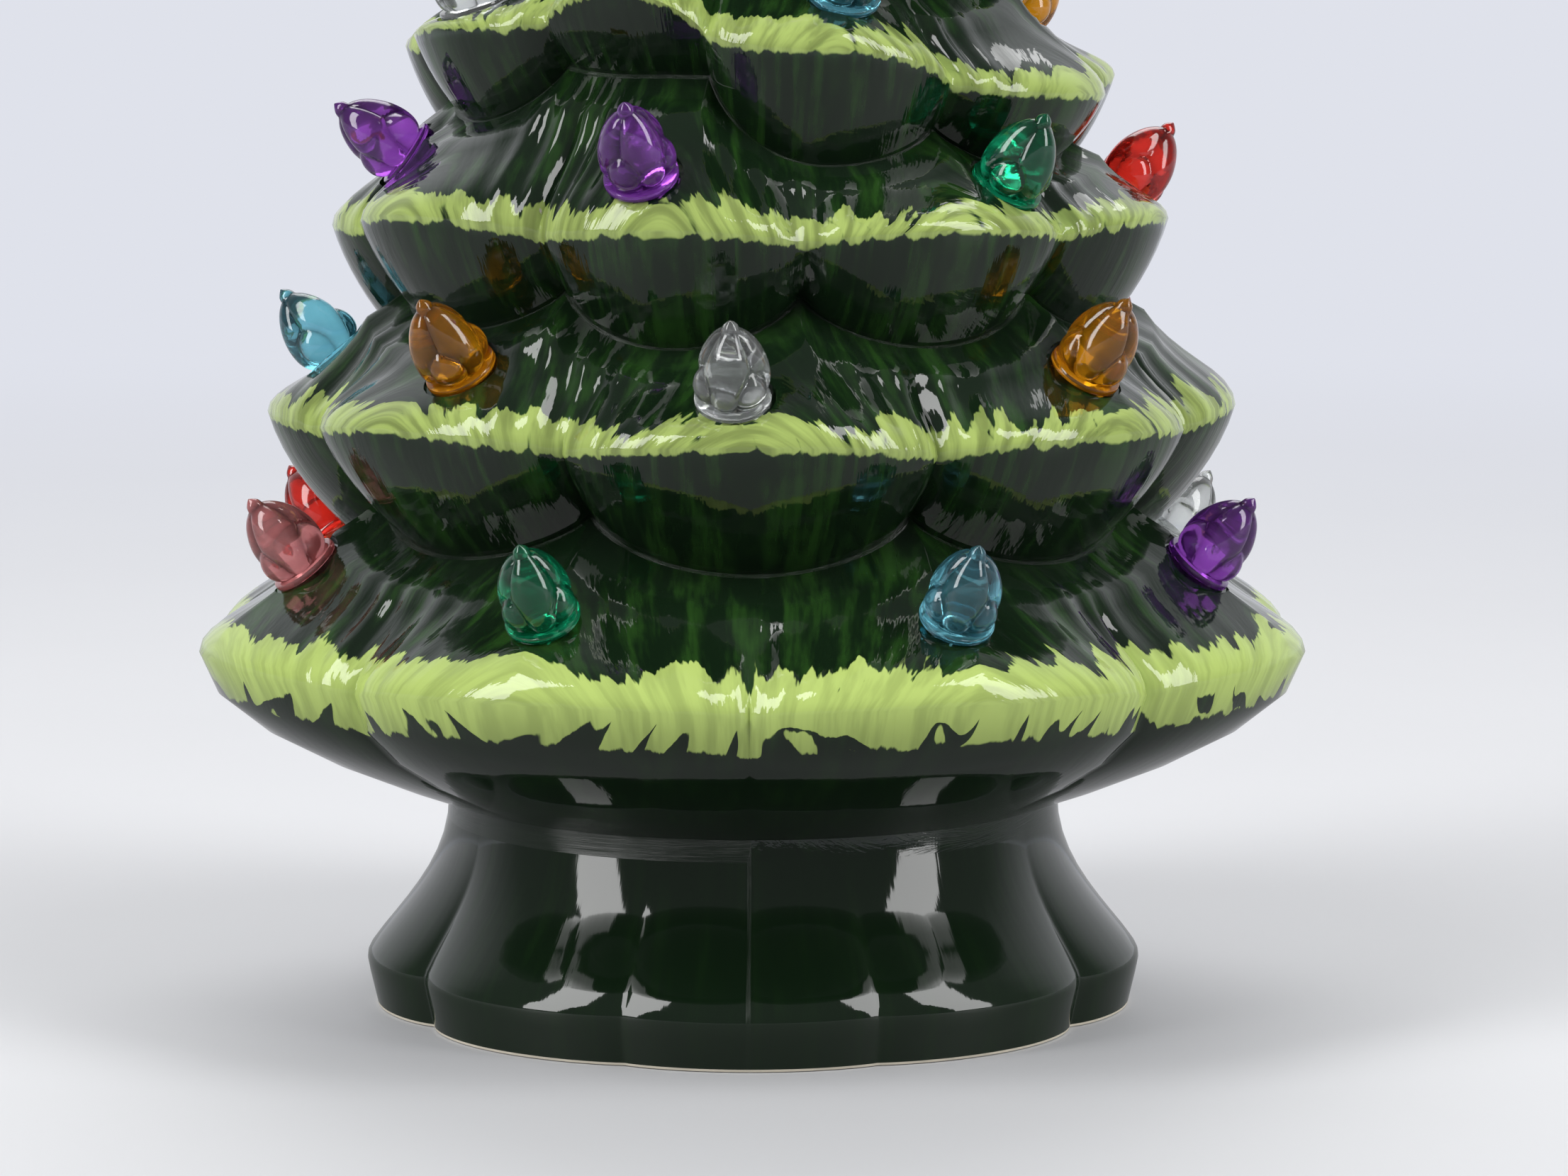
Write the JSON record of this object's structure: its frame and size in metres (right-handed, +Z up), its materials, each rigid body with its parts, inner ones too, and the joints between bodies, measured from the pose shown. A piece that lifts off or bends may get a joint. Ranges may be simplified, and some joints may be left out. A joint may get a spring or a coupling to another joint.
{
  "type": "ceramic christmas tree",
  "caption": "Glazed ceramic table-top Christmas tree with tiered boughs on a fluted base, pull-out bud-shaped bulbs, a lift-out star and a battery light unit closing the base.",
  "frame": {"origin": "on the floor under the middle of the base", "axes": "+Z up the tree to the star, -Y the front that the picture shows"},
  "size_m": [0.1188, 0.1189, 0.1839],
  "materials": {
    "glaze": "glossy dark green glaze with brushed light green rims",
    "housing_plastic": "moulded, fine matte",
    "switch_case": "moulded, matte",
    "knob_plastic": "moulded, ribbed",
    "board": "laminated board",
    "screw_steel": "plated",
    "lamp_lens": "clear domed lens",
    "cell_sleeve": "plain printed sleeve over a steel can",
    "spring_metal": "plated spring strip",
    "lead_red": "insulated wire",
    "lead_black": "insulated wire",
    "star_plastic": "clear moulded, amber",
    "bulb_aqua": "clear moulded, tinted",
    "bulb_purple": "clear moulded, tinted",
    "bulb_clear": "clear moulded, tinted",
    "bulb_amber": "clear moulded, tinted",
    "bulb_red": "clear moulded, tinted",
    "bulb_pink": "clear moulded, tinted",
    "bulb_emerald": "clear moulded, tinted"
  },
  "bodies": {
    "tree": {"tree_body": "glaze", "battery_housing": "housing_plastic", "switch_body": "switch_case", "lamp_board": "board", "board_screws": "screw_steel", "lamp": "lamp_lens", "cell_1": "cell_sleeve", "cell_2": "cell_sleeve", "positive_contact": "spring_metal", "negative_contact": "spring_metal", "bridge_contact": "spring_metal", "lead_positive": "lead_red", "lead_negative": "lead_black", "lead_switch": "lead_black"},
    "door": {"battery_door": "housing_plastic"},
    "switch": {"switch_knob": "knob_plastic"},
    "star": {"star_topper": "star_plastic"},
    "bulb_1a": {"bulb_1a_aqua": "bulb_aqua"},
    "bulb_1b": {"bulb_1b_purple": "bulb_purple"},
    "bulb_1c": {"bulb_1c_clear": "bulb_clear"},
    "bulb_1d": {"bulb_1d_amber": "bulb_amber"},
    "bulb_1e": {"bulb_1e_aqua": "bulb_aqua"},
    "bulb_1f": {"bulb_1f_red": "bulb_red"},
    "bulb_1g": {"bulb_1g_pink": "bulb_pink"},
    "bulb_1h": {"bulb_1h_emerald": "bulb_emerald"},
    "bulb_2a": {"bulb_2a_clear": "bulb_clear"},
    "bulb_2b": {"bulb_2b_amber": "bulb_amber"},
    "bulb_2c": {"bulb_2c_red": "bulb_red"},
    "bulb_2d": {"bulb_2d_purple": "bulb_purple"},
    "bulb_2e": {"bulb_2e_emerald": "bulb_emerald"},
    "bulb_2f": {"bulb_2f_aqua": "bulb_aqua"},
    "bulb_2g": {"bulb_2g_amber": "bulb_amber"},
    "bulb_3a": {"bulb_3a_purple": "bulb_purple"},
    "bulb_3b": {"bulb_3b_emerald": "bulb_emerald"},
    "bulb_3c": {"bulb_3c_red": "bulb_red"},
    "bulb_3d": {"bulb_3d_aqua": "bulb_aqua"},
    "bulb_3e": {"bulb_3e_amber": "bulb_amber"},
    "bulb_3f": {"bulb_3f_purple": "bulb_purple"},
    "bulb_4a": {"bulb_4a_aqua": "bulb_aqua"},
    "bulb_4b": {"bulb_4b_amber": "bulb_amber"},
    "bulb_4c": {"bulb_4c_purple": "bulb_purple"},
    "bulb_4d": {"bulb_4d_red": "bulb_red"},
    "bulb_4e": {"bulb_4e_clear": "bulb_clear"},
    "bulb_5a": {"bulb_5a_red": "bulb_red"},
    "bulb_5b": {"bulb_5b_emerald": "bulb_emerald"},
    "bulb_5c": {"bulb_5c_amber": "bulb_amber"},
    "bulb_5d": {"bulb_5d_clear": "bulb_clear"},
    "bulb_6a": {"bulb_6a_purple": "bulb_purple"},
    "bulb_6b": {"bulb_6b_aqua": "bulb_aqua"},
    "bulb_6c": {"bulb_6c_emerald": "bulb_emerald"}
  },
  "joints": [
    {"name": "door_hinge", "type": "hinge", "parent": "tree", "child": "door", "pos_m": [0, 0.0127, 0.0016], "axis": [1, 0, 0], "range_deg": [0, 95]},
    {"name": "switch_slide", "type": "slide", "parent": "tree", "child": "switch", "axis": [1, 0, 0], "range_m": [0, 0.003]},
    {"name": "star_lift", "type": "slide", "parent": "tree", "child": "star", "axis": [0, 0, 1], "range_m": [0, 0.012]},
    {"name": "bulb_1a_pull", "type": "slide", "parent": "tree", "child": "bulb_1a", "axis": [0.2168, -0.5234, 0.8241], "range_m": [0, 0.008]},
    {"name": "bulb_1b_pull", "type": "slide", "parent": "tree", "child": "bulb_1b", "axis": [0.5975, -0.2475, 0.7628], "range_m": [0, 0.008]},
    {"name": "bulb_1c_pull", "type": "slide", "parent": "tree", "child": "bulb_1c", "axis": [0.5367, 0.2503, 0.8058], "range_m": [0, 0.008]},
    {"name": "bulb_1d_pull", "type": "slide", "parent": "tree", "child": "bulb_1d", "axis": [0.2261, 0.5457, 0.8069], "range_m": [0, 0.008]},
    {"name": "bulb_1e_pull", "type": "slide", "parent": "tree", "child": "bulb_1e", "axis": [-0.228, 0.5504, 0.8032], "range_m": [0, 0.008]},
    {"name": "bulb_1f_pull", "type": "slide", "parent": "tree", "child": "bulb_1f", "axis": [-0.5687, 0.2355, 0.7881], "range_m": [0, 0.008]},
    {"name": "bulb_1g_pull", "type": "slide", "parent": "tree", "child": "bulb_1g", "axis": [-0.596, -0.2469, 0.7641], "range_m": [0, 0.008]},
    {"name": "bulb_1h_pull", "type": "slide", "parent": "tree", "child": "bulb_1h", "axis": [-0.218, -0.5264, 0.8218], "range_m": [0, 0.008]},
    {"name": "bulb_2a_pull", "type": "slide", "parent": "tree", "child": "bulb_2a", "axis": [-0.0184, -0.5281, 0.849], "range_m": [0, 0.008]},
    {"name": "bulb_2b_pull", "type": "slide", "parent": "tree", "child": "bulb_2b", "axis": [0.4402, -0.4105, 0.7986], "range_m": [0, 0.008]},
    {"name": "bulb_2c_pull", "type": "slide", "parent": "tree", "child": "bulb_2c", "axis": [0.4733, 0.3314, 0.8162], "range_m": [0, 0.008]},
    {"name": "bulb_2d_pull", "type": "slide", "parent": "tree", "child": "bulb_2d", "axis": [0.0214, 0.6134, 0.7894], "range_m": [0, 0.008]},
    {"name": "bulb_2e_pull", "type": "slide", "parent": "tree", "child": "bulb_2e", "axis": [-0.3967, 0.3967, 0.8278], "range_m": [0, 0.008]},
    {"name": "bulb_2f_pull", "type": "slide", "parent": "tree", "child": "bulb_2f", "axis": [-0.6543, 0.0228, 0.7559], "range_m": [0, 0.008]},
    {"name": "bulb_2g_pull", "type": "slide", "parent": "tree", "child": "bulb_2g", "axis": [-0.4026, -0.4798, 0.7795], "range_m": [0, 0.008]},
    {"name": "bulb_3a_pull", "type": "slide", "parent": "tree", "child": "bulb_3a", "axis": [-0.1614, -0.6023, 0.7818], "range_m": [0, 0.008]},
    {"name": "bulb_3b_pull", "type": "slide", "parent": "tree", "child": "bulb_3b", "axis": [0.4135, -0.4757, 0.7763], "range_m": [0, 0.008]},
    {"name": "bulb_3c_pull", "type": "slide", "parent": "tree", "child": "bulb_3c", "axis": [0.595, 0.0625, 0.8013], "range_m": [0, 0.008]},
    {"name": "bulb_3d_pull", "type": "slide", "parent": "tree", "child": "bulb_3d", "axis": [0.1632, 0.4484, 0.8788], "range_m": [0, 0.008]},
    {"name": "bulb_3e_pull", "type": "slide", "parent": "tree", "child": "bulb_3e", "axis": [-0.477, 0.477, 0.7382], "range_m": [0, 0.008]},
    {"name": "bulb_3f_pull", "type": "slide", "parent": "tree", "child": "bulb_3f", "axis": [-0.8, -0.1847, 0.5709], "range_m": [0, 0.008]},
    {"name": "bulb_4a_pull", "type": "slide", "parent": "tree", "child": "bulb_4a", "axis": [0.1723, -0.5635, 0.8079], "range_m": [0, 0.008]},
    {"name": "bulb_4b_pull", "type": "slide", "parent": "tree", "child": "bulb_4b", "axis": [0.5424, 0.3132, 0.7796], "range_m": [0, 0.008]},
    {"name": "bulb_4c_pull", "type": "slide", "parent": "tree", "child": "bulb_4c", "axis": [0, 0.5892, 0.808], "range_m": [0, 0.008]},
    {"name": "bulb_4d_pull", "type": "slide", "parent": "tree", "child": "bulb_4d", "axis": [-0.386, 0.2703, 0.882], "range_m": [0, 0.008]},
    {"name": "bulb_4e_pull", "type": "slide", "parent": "tree", "child": "bulb_4e", "axis": [-0.2906, -0.1678, 0.942], "range_m": [0, 0.008]},
    {"name": "bulb_5a_pull", "type": "slide", "parent": "tree", "child": "bulb_5a", "axis": [-0.3418, -0.1973, 0.9188], "range_m": [0, 0.008]},
    {"name": "bulb_5b_pull", "type": "slide", "parent": "tree", "child": "bulb_5b", "axis": [0.3898, -0.2729, 0.8795], "range_m": [0, 0.008]},
    {"name": "bulb_5c_pull", "type": "slide", "parent": "tree", "child": "bulb_5c", "axis": [0.2289, 0.3269, 0.9169], "range_m": [0, 0.008]},
    {"name": "bulb_5d_pull", "type": "slide", "parent": "tree", "child": "bulb_5d", "axis": [-0.4402, 0.4402, 0.7826], "range_m": [0, 0.008]},
    {"name": "bulb_6a_pull", "type": "slide", "parent": "tree", "child": "bulb_6a", "axis": [0.1249, -0.4662, 0.8758], "range_m": [0, 0.008]},
    {"name": "bulb_6b_pull", "type": "slide", "parent": "tree", "child": "bulb_6b", "axis": [0.2062, 0.2062, 0.9565], "range_m": [0, 0.008]},
    {"name": "bulb_6c_pull", "type": "slide", "parent": "tree", "child": "bulb_6c", "axis": [-0.3297, 0.0883, 0.94], "range_m": [0, 0.008]}
  ]
}
